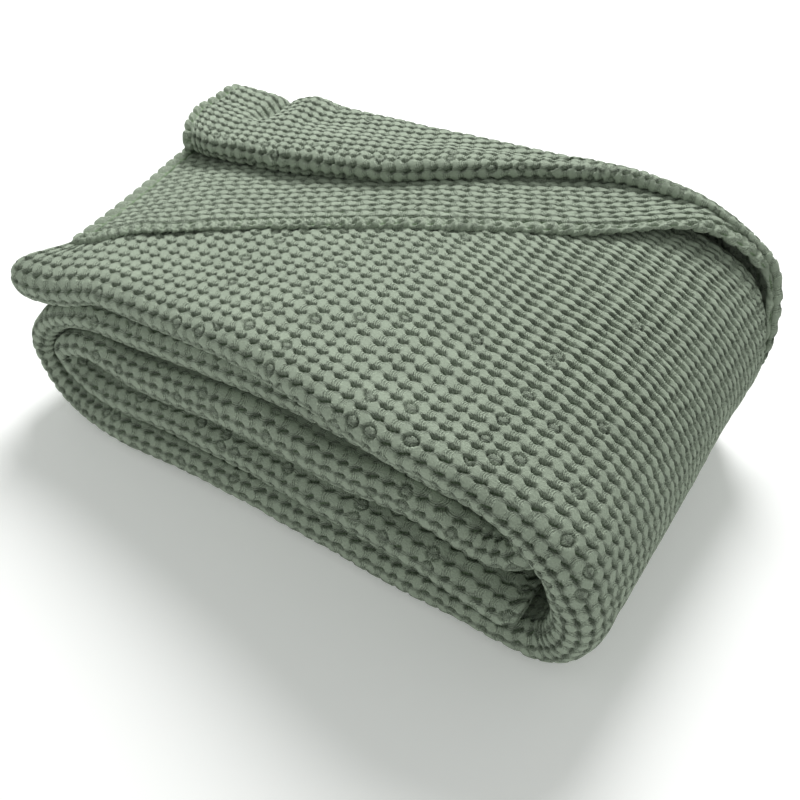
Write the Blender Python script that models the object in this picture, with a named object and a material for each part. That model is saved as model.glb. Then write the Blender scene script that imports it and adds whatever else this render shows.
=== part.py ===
"""A waffle weave cotton blanket, folded for storage, as one closed solid.

The cloth is folded lengthwise into a strip of seven plies, and the strip is then rolled flat
into five layers. STRIP follows the strip from its inner end to its outer end, and ply_line
gives the back-and-forth line of the cloth across the strip at any place along it.
Lengths are in weave cells up to the last step: CELL is one cell of the weave in metres.
"""
import math

import bmesh
import bpy
import numpy as np

CELL = 0.011  # from one raised pad of the weave to the next, along the strip
CLOTH = 0.23  # thickness of the cloth, pressed flat
PLY_PITCH = 0.275  # from one ply to the next where they lie closest

# The strip seen from the front, a row for each place along it: x to the right, z up, the
# thickness of the strip, the y of its front fold and of its back fold, how far x moves for
# each cell of y, the y of the free hem and of the front fold of the pleat behind it, how far
# these two lie over the strip (0 within it, 1 on top), the air under the hem, and the height
# of the pleat's soft roll.
COLUMNS = ("x", "z", "thick", "front", "back", "lean", "hem", "pleat", "over", "air", "roll")
STRIP = (
    # inner end, fourth layer
    (8.8, 3.66, 2.16, -7.6, 17.2, 0.03, 11.0, 13.0, 0.0, 0.0, 0.0),
    (4.0, 4.00, 2.50, -7.3, 17.3, 0.02, 11.0, 13.0, 0.0, 0.0, 0.0),
    (-8.0, 4.03, 2.50, -7.1, 17.3, 0.0, 11.0, 13.0, 0.0, 0.0, 0.0),
    (-18.5, 3.58, 2.25, -7.5, 17.1, 0.0, 11.0, 13.0, 0.0, 0.0, 0.0),
    # inner left turn
    (-23.4, 3.90, 1.90, -7.3, 16.9, 0.0, 11.0, 13.0, 0.0, 0.0, 0.0),
    (-24.6, 4.98, 1.90, -7.2, 16.8, 0.0, 11.0, 13.0, 0.0, 0.0, 0.0),
    (-23.3, 6.02, 1.90, -7.1, 16.9, 0.0, 11.0, 13.0, 0.0, 0.0, 0.0),
    # third layer
    (-18.5, 6.38, 2.70, -7.4, 17.1, 0.0, 11.0, 13.0, 0.0, 0.0, 0.0),
    (-8.0, 7.22, 2.95, -7.0, 17.4, 0.0, 11.0, 13.0, 0.0, 0.0, 0.0),
    (-1.0, 7.00, 2.85, -7.0, 17.4, 0.01, 11.0, 13.0, 0.0, 0.0, 0.0),
    (4.5, 6.90, 2.60, -6.7, 17.4, 0.02, 11.0, 13.0, 0.0, 0.0, 0.0),
    # inner right turn
    (8.4, 6.35, 2.00, -6.3, 17.2, 0.04, 11.0, 13.0, 0.0, 0.0, 0.0),
    (9.6, 7.50, 1.95, -6.0, 17.1, 0.04, 11.0, 13.0, 0.0, 0.0, 0.0),
    (8.3, 8.75, 2.00, -6.0, 17.2, 0.04, 11.0, 13.0, 0.0, 0.0, 0.0),
    # second layer
    (3.5, 9.60, 1.95, -6.1, 17.4, 0.02, 11.0, 13.0, 0.0, 0.0, 0.0),
    (-8.0, 10.05, 2.40, -6.1, 17.5, 0.0, 11.0, 13.0, 0.0, 0.0, 0.0),
    (-18.5, 9.15, 2.20, -6.6, 17.3, 0.0, 11.0, 13.0, 0.0, 0.0, 0.0),
    # outer left turn
    (-24.4, 7.88, 1.85, -7.0, 17.1, 0.0, 11.0, 13.0, 0.0, 0.0, 0.0),
    (-26.9, 4.90, 1.95, -7.3, 17.0, 0.0, 11.0, 13.0, 0.0, 0.0, 0.0),
    (-24.8, 1.95, 2.10, -7.9, 17.2, 0.0, 11.0, 13.0, 0.0, 0.0, 0.0),
    # bottom layer
    (-18.5, 1.20, 2.40, -8.2, 17.5, 0.0, 11.0, 13.0, 0.0, 0.0, 0.0),
    (-8.0, 1.32, 2.60, -7.5, 17.6, 0.0, 11.0, 13.0, 0.0, 0.0, 0.0),
    (1.0, 1.32, 2.60, -7.6, 17.6, 0.01, 11.5, 13.5, 0.0, 0.0, 0.0),
    (8.0, 1.27, 2.45, -7.3, 17.5, 0.04, 12.5, 14.5, 0.0, 0.0, 0.0),
    # outer right turn
    (11.5, 2.20, 2.50, -7.1, 16.5, 0.0, 13.5, 15.0, 0.0, 0.0, 0.0),
    (12.35, 4.50, 2.80, -7.3, 16.1, 0.0, 14.3, 15.2, 0.0, 0.0, 0.0),
    (12.4, 7.20, 2.60, -7.6, 16.2, 0.05, 15.2, 15.6, 0.4, 0.0, 0.05),
    (10.8, 9.95, 2.20, -7.8, 18.9, 0.05, 17.9, 18.3, 0.9, 0.3, 0.1),
    (7.2, 12.10, 1.90, -8.0, 18.9, 0.04, 16.4, 18.2, 1.0, 0.5, 0.2),
    # top layer
    (2.3, 12.95, 1.95, -8.4, 19.1, 0.0, 11.3, 17.6, 1.0, 0.1, 0.4),
    (-3.5, 13.00, 2.00, -7.7, 18.3, -0.02, 8.0, 14.2, 1.0, 0.0, 0.6),
    (-10.0, 12.55, 1.95, -6.9, 17.8, -0.05, 4.9, 10.0, 1.0, 0.0, 0.85),
    (-17.5, 11.65, 1.90, -6.5, 18.2, -0.10, 1.4, 8.4, 1.0, 0.0, 1.2),
    (-22.0, 11.05, 1.90, -6.4, 18.2, -0.12, -0.9, 8.2, 1.0, 0.0, 1.2),
    (-25.4, 10.15, 2.60, -7.0, 18.1, -0.14, -2.8, 8.2, 1.0, 0.0, 1.25),
    (-28.6, 9.70, 2.90, -7.2, 18.0, -0.15, -4.2, 8.6, 1.0, 0.0, 1.3),
)
STATIONS = 62  # places along the strip where the solid has a section
TURN_WEIGHT = 8.0  # how much closer together the stations stand where the strip turns
FINE_STEPS = 1200  # steps in which the strip is measured

ROUND_STEPS = 5  # segments in a wide fold, between the outer plies
ROLL_STEPS = 4  # segments in the soft roll of the pleat
TIGHT_STEPS = 2  # segments in a fold between two neighbouring plies
FOLD_DEPTH = 0.9  # how deep a fold is for half its height
STEP_LENGTH = 2.0  # how far the inner plies take to sink where more plies come over them
SETTLE = 0.6  # share of the roll that is left at the back of the pleat
SETTLING = (0.35, 0.7)  # places behind the roll where the pleat comes down, 0 front to 1 back
HEM_CLEAR = 0.3  # from the hem to where the plies under it begin to sink
PRESSED = 0.08  # cloth this close to the surface lies flat on it
LEAN_FROM = 5.0  # the y at which lean moves nothing
EASE = 3.0  # length of strip over which the columns after x and z are evened out


def strip_rows():
    """The rows of STRIP joined by a smooth curve and sampled finely along the strip."""
    rows = np.array(STRIP)
    chords = np.linalg.norm(np.diff(rows[:, :2], axis=0), axis=1)
    knots = np.concatenate(([0.0], np.cumsum(chords)))
    count = len(knots)
    system = np.eye(count)
    for i in range(1, count - 1):
        system[i, i - 1] = chords[i - 1]
        system[i, i] = 2 * (chords[i - 1] + chords[i])
        system[i, i + 1] = chords[i]
    change = np.diff(rows, axis=0) / chords[:, None]
    bends = np.zeros_like(rows)
    bends[1:-1] = 6 * np.diff(change, axis=0)
    bends = np.linalg.solve(system, bends)
    places = np.linspace(0.0, knots[-1], FINE_STEPS + 1)
    left = np.clip(np.searchsorted(knots, places) - 1, 0, count - 2)
    span = chords[left][:, None]
    past = (places - knots[left])[:, None]
    ahead = span - past
    curve = (bends[left] * ahead**3 + bends[left + 1] * past**3) / (6 * span)
    curve += (rows[left] / span - bends[left] * span / 6) * ahead
    curve += (rows[left + 1] / span - bends[left + 1] * span / 6) * past
    reach = int(EASE / places[1] / 2)
    window = np.hanning(2 * reach + 1)
    window /= window.sum()
    for column in range(2, rows.shape[1]):
        plain = np.interp(places, knots, rows[:, column])
        curve[:, column] = np.convolve(np.pad(plain, reach, mode="edge"), window, mode="valid")
    return curve


def stations():
    """Sections along the strip: its row, its place and the direction to its outer side."""
    curve = strip_rows()
    ahead = np.gradient(curve[:, :2], axis=0)
    heading = np.unwrap(np.arctan2(ahead[:, 1], ahead[:, 0]))
    run = np.linalg.norm(np.diff(curve[:, :2], axis=0), axis=1)
    effort = run + TURN_WEIGHT * np.abs(np.diff(heading))
    reach = np.concatenate(([0.0], np.cumsum(effort)))
    wanted = np.linspace(0.0, reach[-1], STATIONS)
    found = []
    for want in wanted:
        row = [np.interp(want, reach, curve[:, c]) for c in range(curve.shape[1])]
        turn = np.interp(want, reach, heading)
        found.append((dict(zip(COLUMNS, row)), math.sin(turn), -math.cos(turn)))
    return found


def fold(y, low, high, side, steps):
    """A rounded fold at y that turns from height low to height high; side is -1 in front."""
    middle = (low + high) / 2
    half = (high - low) / 2
    points = []
    for i in range(steps + 1):
        angle = math.pi * i / steps
        out = abs(half) * FOLD_DEPTH * math.sin(angle)
        points.append((y + side * out, middle - half * math.cos(angle)))
    return points


def ply_line(row):
    """The line of the cloth across the strip as (y, height above the inner side) points."""
    inner = CLOTH / 2
    outer = row["thick"] - CLOTH / 2
    front = [inner + k * (outer - inner) / 3 for k in range(4)]
    back = []
    for k in range(7):
        sunk = inner + k * (outer - inner) / 6
        over = front[k] if k < 4 else outer + (k - 3) * PLY_PITCH + row["air"]
        back.append(sunk + (over - sunk) * row["over"])
    roll = row["roll"]
    crest = back[6] + roll
    behind = back[6] + roll * SETTLE

    front_turn = row["front"] + CLOTH / 2 + FOLD_DEPTH * (front[3] - front[0]) / 2
    back_turn = row["back"] - CLOTH / 2 - FOLD_DEPTH * (behind - back[0]) / 2
    pleat_turn = row["pleat"] + CLOTH / 2 + FOLD_DEPTH * (crest - back[5]) / 2
    pleat_turn = min(pleat_turn, back_turn - HEM_CLEAR)
    hem = min(row["hem"], back_turn - 2 * HEM_CLEAR)
    settled = hem - HEM_CLEAR
    sinking = settled - HEM_CLEAR - STEP_LENGTH * (1 - row["over"])

    line = [(hem, back[4]), ((hem + back_turn) / 2, back[4])]
    line += fold(back_turn, back[4], back[5], 1, TIGHT_STEPS)
    line += [((back_turn + pleat_turn) / 2, back[5])]
    line += fold(pleat_turn, back[5], crest, -1, ROLL_STEPS)
    for share in SETTLING:
        y = pleat_turn + (back_turn - pleat_turn) * share
        line += [(y, crest + (behind - crest) * share)]
    line += fold(back_turn, behind, back[0], 1, ROUND_STEPS)
    for y in (hem, sinking, (front_turn + sinking) / 2):
        line += [(y, inner)]
    line += fold(front_turn, front[0], front[3], -1, ROUND_STEPS)
    line += [((front_turn + sinking) / 2, front[3])]
    line += [(sinking, front[3]), (settled, back[3])]
    line += fold(back_turn, back[3], back[2], 1, TIGHT_STEPS)
    line += [(settled, back[2]), (sinking, front[2])]
    line += fold(front_turn, front[2], front[1], -1, TIGHT_STEPS)
    line += [(sinking, front[1]), (settled, back[1])]
    line += [(back_turn, back[1])]
    return line


def outline(line):
    """Both faces of the cloth around its middle line, half a thickness to either side."""
    points = np.array(line)
    legs = np.diff(points, axis=0)
    legs /= np.linalg.norm(legs, axis=1)[:, None]
    before = np.vstack((legs[:1], legs))
    after = np.vstack((legs, legs[-1:]))
    miter = before + after
    miter /= np.linalg.norm(miter, axis=1)[:, None]
    square = np.stack((-miter[:, 1], miter[:, 0]), axis=1)
    reach = (CLOTH / 2) / np.einsum("ij,ij->i", miter, after)
    left = points + square * reach[:, None]
    right = points - square * reach[:, None]
    return np.vstack((left, right[::-1]))


def section(row, out_x, out_z):
    """The outline of the cloth at one station, as points in space."""
    points = []
    for y, height in outline(ply_line(row)):
        rise = height - row["thick"] / 2
        x = row["x"] + rise * out_x + row["lean"] * (y - LEAN_FROM)
        z = row["z"] + rise * out_z
        points.append((x, y, 0.0 if z < PRESSED else z))
    return points


def blanket_mesh():
    """The outline of the plies lofted through all stations, closed at both ends."""
    mesh = bmesh.new()
    rings = [[mesh.verts.new(point) for point in section(*place)] for place in stations()]
    for near, far in zip(rings, rings[1:]):
        for i in range(len(near)):
            j = (i + 1) % len(near)
            mesh.faces.new((near[i], near[j], far[j], far[i]))
    half = len(rings[0]) // 2
    for ring, turned in ((rings[0], False), (rings[-1], True)):
        for i in range(half - 1):
            face = [ring[i], ring[i + 1], ring[-2 - i], ring[-1 - i]]
            mesh.faces.new(face[::-1] if turned else face)
    bmesh.ops.recalc_face_normals(mesh, faces=mesh.faces)
    low = np.min([v.co for v in mesh.verts], axis=0)
    high = np.max([v.co for v in mesh.verts], axis=0)
    middle = (low + high) / 2
    for vert in mesh.verts:
        vert.co.x -= middle[0]
        vert.co.y -= middle[1]
        vert.co *= CELL
    data = bpy.data.meshes.new("blanket")
    mesh.to_mesh(data)
    mesh.free()
    return data


def cotton():
    material = bpy.data.materials.new("cotton")
    material.use_nodes = True
    shader = material.node_tree.nodes["Principled BSDF"]
    shader.inputs["Base Color"].default_value = (0.30, 0.34, 0.25, 1.0)
    shader.inputs["Roughness"].default_value = 0.95
    shader.inputs["Metallic"].default_value = 0.0
    return material


def main():
    for old in list(bpy.data.objects):
        bpy.data.objects.remove(old)
    collection = bpy.data.collections.new("waffle_blanket")
    bpy.context.scene.collection.children.link(collection)
    blanket = bpy.data.objects.new("blanket", blanket_mesh())
    blanket.data.materials.append(cotton())
    collection.objects.link(blanket)


main()
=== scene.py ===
"""A folded waffle weave cotton blanket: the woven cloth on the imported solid's folds.

The strip of folded cloth and its flat roll are worked out as in the solid, from the same table,
and covered with cloth that has its cells modelled. Lengths are in weave cells, and CELL is one
cell along the strip in metres.
"""
import math

import bpy
import numpy as np
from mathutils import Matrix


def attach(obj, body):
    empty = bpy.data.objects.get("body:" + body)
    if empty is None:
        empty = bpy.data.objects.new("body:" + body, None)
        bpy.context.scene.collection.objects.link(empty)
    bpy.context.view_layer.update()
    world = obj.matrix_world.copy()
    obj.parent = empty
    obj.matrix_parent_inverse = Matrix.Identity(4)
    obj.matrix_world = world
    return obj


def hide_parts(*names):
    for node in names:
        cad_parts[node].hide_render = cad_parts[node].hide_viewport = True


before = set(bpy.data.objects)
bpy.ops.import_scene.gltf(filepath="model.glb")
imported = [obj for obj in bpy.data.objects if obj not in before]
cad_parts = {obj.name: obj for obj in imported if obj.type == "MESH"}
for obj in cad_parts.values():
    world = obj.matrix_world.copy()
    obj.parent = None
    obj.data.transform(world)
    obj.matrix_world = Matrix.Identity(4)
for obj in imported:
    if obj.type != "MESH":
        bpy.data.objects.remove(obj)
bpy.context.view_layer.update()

CELL = 0.011  # metres from one raised pad of the weave to the next, along the strip
CROSS = 0.73  # the same across the strip, as a share of CELL
MIDDLE = (-8.122, 5.351)  # where the middle of the folded blanket lies in the table below

# The strip seen from the front, as in the solid: x to the right, z up, the thickness of the
# strip, the y of its front and back folds, how far x moves for each cell of y, the y of the
# free hem and of the pleat's front fold, how far these lie over the strip, the air under the
# hem, and the height of the pleat's soft roll.
COLUMNS = ("x", "z", "thick", "front", "back", "lean", "hem", "pleat", "over", "air", "roll")
BELOW = (11.0, 13.0, 0.0, 0.0, 0.0)  # the last five where nothing lies over the strip
STRIP = (
    # inner end, fourth layer
    (8.8, 3.66, 2.16, -7.6, 17.2, 0.03, *BELOW),
    (4.0, 4.00, 2.50, -7.3, 17.3, 0.02, *BELOW),
    (-8.0, 4.03, 2.50, -7.1, 17.3, 0.0, *BELOW),
    (-18.5, 3.58, 2.25, -7.5, 17.1, 0.0, *BELOW),
    # inner left turn
    (-23.4, 3.90, 1.90, -7.3, 16.9, 0.0, *BELOW),
    (-24.6, 4.98, 1.90, -7.2, 16.8, 0.0, *BELOW),
    (-23.3, 6.02, 1.90, -7.1, 16.9, 0.0, *BELOW),
    # third layer
    (-18.5, 6.38, 2.70, -7.4, 17.1, 0.0, *BELOW),
    (-8.0, 7.22, 2.95, -7.0, 17.4, 0.0, *BELOW),
    (-1.0, 7.00, 2.85, -7.0, 17.4, 0.01, *BELOW),
    (4.5, 6.90, 2.60, -6.7, 17.4, 0.02, *BELOW),
    # inner right turn
    (8.4, 6.35, 2.00, -6.3, 17.2, 0.04, *BELOW),
    (9.6, 7.50, 1.95, -6.0, 17.1, 0.04, *BELOW),
    (8.3, 8.75, 2.00, -6.0, 17.2, 0.04, *BELOW),
    # second layer
    (3.5, 9.60, 1.95, -6.1, 17.4, 0.02, *BELOW),
    (-8.0, 10.05, 2.40, -6.1, 17.5, 0.0, *BELOW),
    (-18.5, 9.15, 2.20, -6.6, 17.3, 0.0, *BELOW),
    # outer left turn
    (-24.4, 7.88, 1.85, -7.0, 17.1, 0.0, *BELOW),
    (-26.9, 4.90, 1.95, -7.3, 17.0, 0.0, *BELOW),
    (-24.8, 1.95, 2.10, -7.9, 17.2, 0.0, *BELOW),
    # bottom layer
    (-18.5, 1.20, 2.40, -8.2, 17.5, 0.0, *BELOW),
    (-8.0, 1.32, 2.60, -7.5, 17.6, 0.0, *BELOW),
    (1.0, 1.32, 2.60, -7.6, 17.6, 0.01, 11.5, 13.5, 0.0, 0.0, 0.0),
    (8.0, 1.27, 2.45, -7.3, 17.5, 0.04, 12.5, 14.5, 0.0, 0.0, 0.0),
    # outer right turn
    (11.5, 2.20, 2.50, -7.1, 16.5, 0.0, 13.5, 15.0, 0.0, 0.0, 0.0),
    (12.35, 4.50, 2.80, -7.3, 16.1, 0.0, 14.3, 15.2, 0.0, 0.0, 0.0),
    (12.4, 7.20, 2.60, -7.6, 16.2, 0.05, 15.2, 15.6, 0.4, 0.0, 0.05),
    (10.8, 9.95, 2.20, -7.8, 18.9, 0.05, 17.9, 18.3, 0.9, 0.3, 0.1),
    (7.2, 12.10, 1.90, -8.0, 18.9, 0.04, 16.4, 18.2, 1.0, 0.5, 0.2),
    # top layer
    (2.3, 12.95, 1.95, -8.4, 19.1, 0.0, 11.3, 17.6, 1.0, 0.1, 0.4),
    (-3.5, 13.00, 2.00, -7.7, 18.3, -0.02, 8.0, 14.2, 1.0, 0.0, 0.6),
    (-10.0, 12.55, 1.95, -6.9, 17.8, -0.05, 4.9, 10.0, 1.0, 0.0, 0.85),
    (-17.5, 11.65, 1.90, -6.5, 18.2, -0.10, 1.4, 8.4, 1.0, 0.0, 1.2),
    (-22.0, 11.05, 1.90, -6.4, 18.2, -0.12, -0.9, 8.2, 1.0, 0.0, 1.2),
    (-25.4, 10.15, 2.60, -7.0, 18.1, -0.14, -2.8, 8.2, 1.0, 0.0, 1.25),
    (-28.6, 9.70, 2.90, -7.2, 18.0, -0.15, -4.2, 8.6, 1.0, 0.0, 1.3),
)
# rows of the table where one stretch of the strip ends and the next begins
INNER_END, INNER_TURN, LEFT_TURN, BOTTOM, RIGHT_TURN, TOP, OUTER_END = 0, 10, 16, 20, 23, 28, 35
LEAN_FROM = 5.0  # the y that keeps its place where the strip leans
EASE = 3.0  # length over which the table's columns change from row to row
FINE_STEPS = 4000

ALONG = 0.085  # spacing of the mesh along the strip, in cells
ACROSS = 0.08  # and across it
IN_SHADE = 0.122  # spacing along the strip in the layers below
FOLD_FINE = (2.2, 3.6)  # how far the fine cloth reaches under and over the front fold
BACK_FINE = 2.6  # and round each half of the back fold
MEDIUM = 0.12  # spacing across the back folds
UNSEEN = 0.2  # the same under the flap and the pleat
COARSE = 1.6  # and between the layers, where nothing shows

RELIEF = 0.32  # depth of a waffle cell from the pads to the floor of the pocket
PROUD = 0.10  # how far the pads stand over the solid's surface
WAVE = 0.14  # height of the slow unevenness of the whole cloth
WAVE_LENGTH = 6.5  # in cells, and its waves are shorter up and down by this
WAVE_UPRIGHT = 1.7
SEED = 11
TILE = 128  # cells after which the unevenness repeats

HEM_HALF = 0.17  # half the thickness of a rolled hem
FLAP_RISE = 0.36  # height of the flap's upper side over the strip
HEM_ANGLE = math.radians(29.0)  # between the flap's threads and the strip's
PLEAT_ANGLE = math.radians(18.0)
PLEAT_SHORT = 1.55  # how far the upper cloths end before the strip
HEM_PAD = 1.05  # length of a pad of the hems across the cloth's end
FLAP_BAND = 1.3  # width of the hem across the flap's end
PLEAT_BAND = 1.7  # and across the pleat's, with its rounded end
HEM_SWAY = 0.22  # how far the hem wanders off its line
HEM_WAVES = ((5.0, 2), (1.7, 3))  # length of its slow and quick waves, and their tables
QUICK_SHARE = 0.4  # how far the quick waves go, as a share of the slow ones
HEM_BEFORE_TURN = 0.85  # the hem stays this far in front of the back fold
HEM_DRAWN_IN = 1.1  # how far the flap's front corner is pulled in besides
FLAP_START = RIGHT_TURN + 2  # where the flap and the pleat begin
HEM_STEPS = 9  # points round the hem's edge
FLAP_COUNTS = (5, 12, 102)  # steps of the mesh under the hem, round it and onward


# -------- the strip


def strip_curve():
    """The strip's rows joined by a smooth curve, with the heading and length along it."""
    rows = np.array(STRIP)
    chords = np.linalg.norm(np.diff(rows[:, :2], axis=0), axis=1)
    knots = np.concatenate(([0.0], np.cumsum(chords)))
    count = len(knots)
    system = np.eye(count)
    for i in range(1, count - 1):
        system[i, i - 1] = chords[i - 1]
        system[i, i] = 2 * (chords[i - 1] + chords[i])
        system[i, i + 1] = chords[i]
    change = np.diff(rows, axis=0) / chords[:, None]
    bends = np.zeros_like(rows)
    bends[1:-1] = 6 * np.diff(change, axis=0)
    bends = np.linalg.solve(system, bends)
    places = np.linspace(0.0, knots[-1], FINE_STEPS + 1)
    left = np.clip(np.searchsorted(knots, places) - 1, 0, count - 2)
    span = chords[left][:, None]
    past = (places - knots[left])[:, None]
    ahead = span - past
    curve = (bends[left] * ahead**3 + bends[left + 1] * past**3) / (6 * span)
    curve += (rows[left] / span - bends[left] * span / 6) * ahead
    curve += (rows[left + 1] / span - bends[left + 1] * span / 6) * past
    reach = int(EASE / places[1] / 2)
    window = np.hanning(2 * reach + 1)
    window /= window.sum()
    for column in range(2, rows.shape[1]):
        plain = np.interp(places, knots, rows[:, column])
        curve[:, column] = np.convolve(np.pad(plain, reach, mode="edge"), window, mode="valid")
    strip = dict(zip(COLUMNS, curve.T))
    step = np.diff(curve[:, :2], axis=0)
    run = np.linalg.norm(step, axis=1)
    ahead = np.gradient(curve[:, :2], axis=0)
    strip["turn"] = np.unwrap(np.arctan2(ahead[:, 1], ahead[:, 0]))
    strip["length"] = np.concatenate(([0.0], np.cumsum(run)))
    strip["knots"] = np.interp(knots, places, strip["length"])
    # threads are counted on the outer side, which is longer round the outer turns
    outside = strip["length"][1:] > strip["knots"][LEFT_TURN]
    bend = np.diff(strip["turn"]) * (strip["thick"][1:] / 2) * outside
    strip["thread"] = np.concatenate(([0.0], np.cumsum(run + bend)))
    return strip


STRIP_CURVE = strip_curve()
CAP_THREAD = 1.1  # length of cloth round a rounded end, for each cell of its depth


def along(first, last, step, short=0.0):
    """Stations at even steps between two rows of the table, as columns of values.

    The last of them is left out where the cloth is short. One more station at each end, marked
    as margin, gives the cloth its slope there.
    """
    start = STRIP_CURVE["knots"][first]
    stop = STRIP_CURVE["knots"][last] - short
    count = max(2, int(round((stop - start) / step)) + 1)
    step = (stop - start) / (count - 1)
    lengths = start + step * np.arange(-1, count + 1)
    lengths[[0, -1]] = np.clip(lengths[[0, -1]], 1e-3, STRIP_CURVE["length"][-1] - 1e-3)
    row = {"length": lengths, "margin": np.zeros(count + 2, dtype=bool)}
    for name in COLUMNS + ("turn", "thread"):
        row[name] = np.interp(lengths, STRIP_CURVE["length"], STRIP_CURVE[name])
    row["margin"][[0, -1]] = True
    row["cap"] = np.zeros(count + 2)
    row["reach"] = np.zeros(count + 2)
    return row


def with_cap(row, steps, depth, side):
    """The stations with a rounded end added, at the start or the end of the stretch.

    side is -1 at the start and 1 at the end; cap is the angle of the rounding from 0 to 90
    degrees and reach how far past the stretch's end each station lies.
    """
    body = {name: values[1:] if side < 0 else values[:-1] for name, values in row.items()}
    angles = np.radians(90.0) * np.arange(1, steps + 1) / steps
    angles = np.append(angles, angles[-1])
    if side < 0:
        angles = angles[::-1]
    end = 0 if side < 0 else -1
    extra = {name: np.full(steps + 1, values[end]) for name, values in body.items()}
    extra["cap"] = angles
    extra["reach"] = depth * np.sin(angles)
    extra["thread"] = extra["thread"] + side * depth * CAP_THREAD * angles
    extra["margin"] = np.zeros(steps + 1, dtype=bool)
    extra["margin"][end] = True
    parts = (extra, body) if side < 0 else (body, extra)
    joined = {name: np.concatenate([part[name] for part in parts]) for name in row}
    joined["side"] = side
    return joined


def place(row, y, height, reach):
    """Points in space for stations down the rows and (y, height) across the columns.

    reach is how far each point lies past its station, along the strip.
    """
    rise = height - row["thick"][:, None] / 2
    x = row["x"][:, None] + rise * np.sin(row["turn"])[:, None]
    x = x + row["lean"][:, None] * (y - LEAN_FROM) + reach * np.cos(row["turn"])[:, None]
    z = row["z"][:, None] - rise * np.cos(row["turn"])[:, None]
    z = z + reach * np.sin(row["turn"])[:, None]
    return np.stack((x, y + 0 * x, z), axis=2)


# -------- unevenness

SHEETS = 6  # separate tables of chance
CHANCE = np.random.RandomState(SEED).rand(SHEETS, TILE, TILE)


def ease(low, high, value):
    share = np.clip((value - low) / (high - low), 0.0, 1.0)
    return share * share * (3 - 2 * share)


def soft_noise(u, v, sheet):
    """Smooth random values from -1 to 1 that change over about one unit of u and v.

    sheet is the table of chance that they come from.
    """
    table = CHANCE[sheet]
    left, low = np.floor(u).astype(int), np.floor(v).astype(int)
    a = ease(0.0, 1.0, u - left)
    b = ease(0.0, 1.0, v - low)

    def at(i, j):
        return table[(left + i) % TILE, (low + j) % TILE]

    near = at(0, 0) * (1 - a) + at(1, 0) * a
    far = at(0, 1) * (1 - a) + at(1, 1) * a
    return 2 * (near * (1 - b) + far * b) - 1


# -------- the weave

PAD = (0.262, 0.462)  # half size of a raised pad along u and along v
ROPE_PAD = (0.34, 0.42)  # the same where the cloth is pulled into ropes along u
PAD_POWER = 2.0  # 2 makes the pads oval, more makes them squarer
PAD_DOME = 0.08  # how much lower a pad is at its outline than in its middle
PAD_EDGE = (0.85, 1.45)  # where it falls away, with its outline at 1
DIPS_AT = ((0.26, 0.46), (0.34, 0.5))  # where the yarns dip between two pads, along u and v
SLOT = (0.05, 0.155)  # half width of the pocket between two ropes, at its floor and its rim
ROPE_SLOT = 0.07  # how much wider it is between the ropes
SLOT_SKEW = -0.55  # how far the pocket leans across the ropes
LINK_V = (0.08, 0.19)  # the same for the yarns along v
BUTTON = 0.37  # radius of a pocket that has popped outward
BUTTON_RISE = 0.8
BUTTON_OVAL = 0.95  # its width as a share of its length
BUTTON_EDGE = (0.8, 1.0)  # where it falls away, with its radius at 1
BUTTON_PIT = (0.95, 1.2)  # where the pit round it rises to the cloth
DRIFT, DRIFT_LENGTH = 0.25, 4.5  # how far the rows wander, and over how many cells
JITTER = (0.10, 0.09)  # how far each pad stands off its place, along u and along v
UNEVEN_SIZE = 0.14  # how much the pads differ in size
UNEVEN_HEIGHT = 0.12  # and in height
JITTER_PACE, SIZE_PACE, HEIGHT_PACE = 1.1, 1.3, 0.8  # how quickly these change


def waffle(u, v, dip_u, dip_v, rope, popped):
    """Height of the cloth from 0, the floor of a pocket, to 1, the top of a pad.

    Pads stand where u and v are whole; the yarns between them dip by dip_u and dip_v. rope is
    how far the cloth is pulled into ropes along u, and popped the share of its pockets that
    have popped outward. Gives the height, and u and v with the weave's unevenness in them.
    """
    quick = (u * JITTER_PACE, v * JITTER_PACE)
    slow = (u / DRIFT_LENGTH, v / DRIFT_LENGTH)
    u = u + JITTER[0] * soft_noise(*quick, 0) + DRIFT * soft_noise(*slow, 1)
    v = v + JITTER[1] * soft_noise(*quick, 2) + DRIFT * soft_noise(*slow, 3)
    off_u, off_v = np.abs(u - np.rint(u)), np.abs(v - np.rint(v))
    size = 1 + UNEVEN_SIZE * soft_noise(u * SIZE_PACE, v * SIZE_PACE, 4)
    half_u = (PAD[0] + (ROPE_PAD[0] - PAD[0]) * rope) * size
    half_v = (PAD[1] + (ROPE_PAD[1] - PAD[1]) * rope) * size
    edge = (off_u / half_u) ** PAD_POWER + (off_v / half_v) ** PAD_POWER
    pad = 1 - PAD_DOME * edge - (1 - PAD_DOME) * ease(*PAD_EDGE, edge)
    slot = np.abs(v - np.floor(v) - 0.5 - SLOT_SKEW * (1 - rope) * (u - np.floor(u) - 0.5))
    link_u = ease(0.0, 1.0, (slot - SLOT[0] - ROPE_SLOT * rope) / (SLOT[1] - SLOT[0]))
    link_u = link_u * (1 - dip_u * ease(*DIPS_AT[0], off_u))
    link_v = (1 - ease(*LINK_V, off_u)) * (1 - dip_v * ease(*DIPS_AT[1], off_v))
    height = np.maximum(pad, np.maximum(link_u, link_v))
    height = height * (1 + UNEVEN_HEIGHT * soft_noise(u * HEIGHT_PACE, v * HEIGHT_PACE, 5))
    cell_u, cell_v = np.floor(u), np.floor(v)
    chance = CHANCE[5][cell_u.astype(int) % TILE, cell_v.astype(int) % TILE]
    from_middle = np.hypot(u - cell_u - 0.5, (v - cell_v - 0.5) * BUTTON_OVAL) / BUTTON
    button = BUTTON_RISE * (1 - ease(*BUTTON_EDGE, from_middle))
    ringed = np.maximum(height * ease(*BUTTON_PIT, from_middle), button)
    return np.where(chance < popped * (1 - rope), ringed, height), u, v


# -------- cloth meshes


def added(name, data):
    """A new object in the scene."""
    made = bpy.data.objects.new(name, data)
    bpy.context.scene.collection.objects.link(made)
    return made


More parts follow.
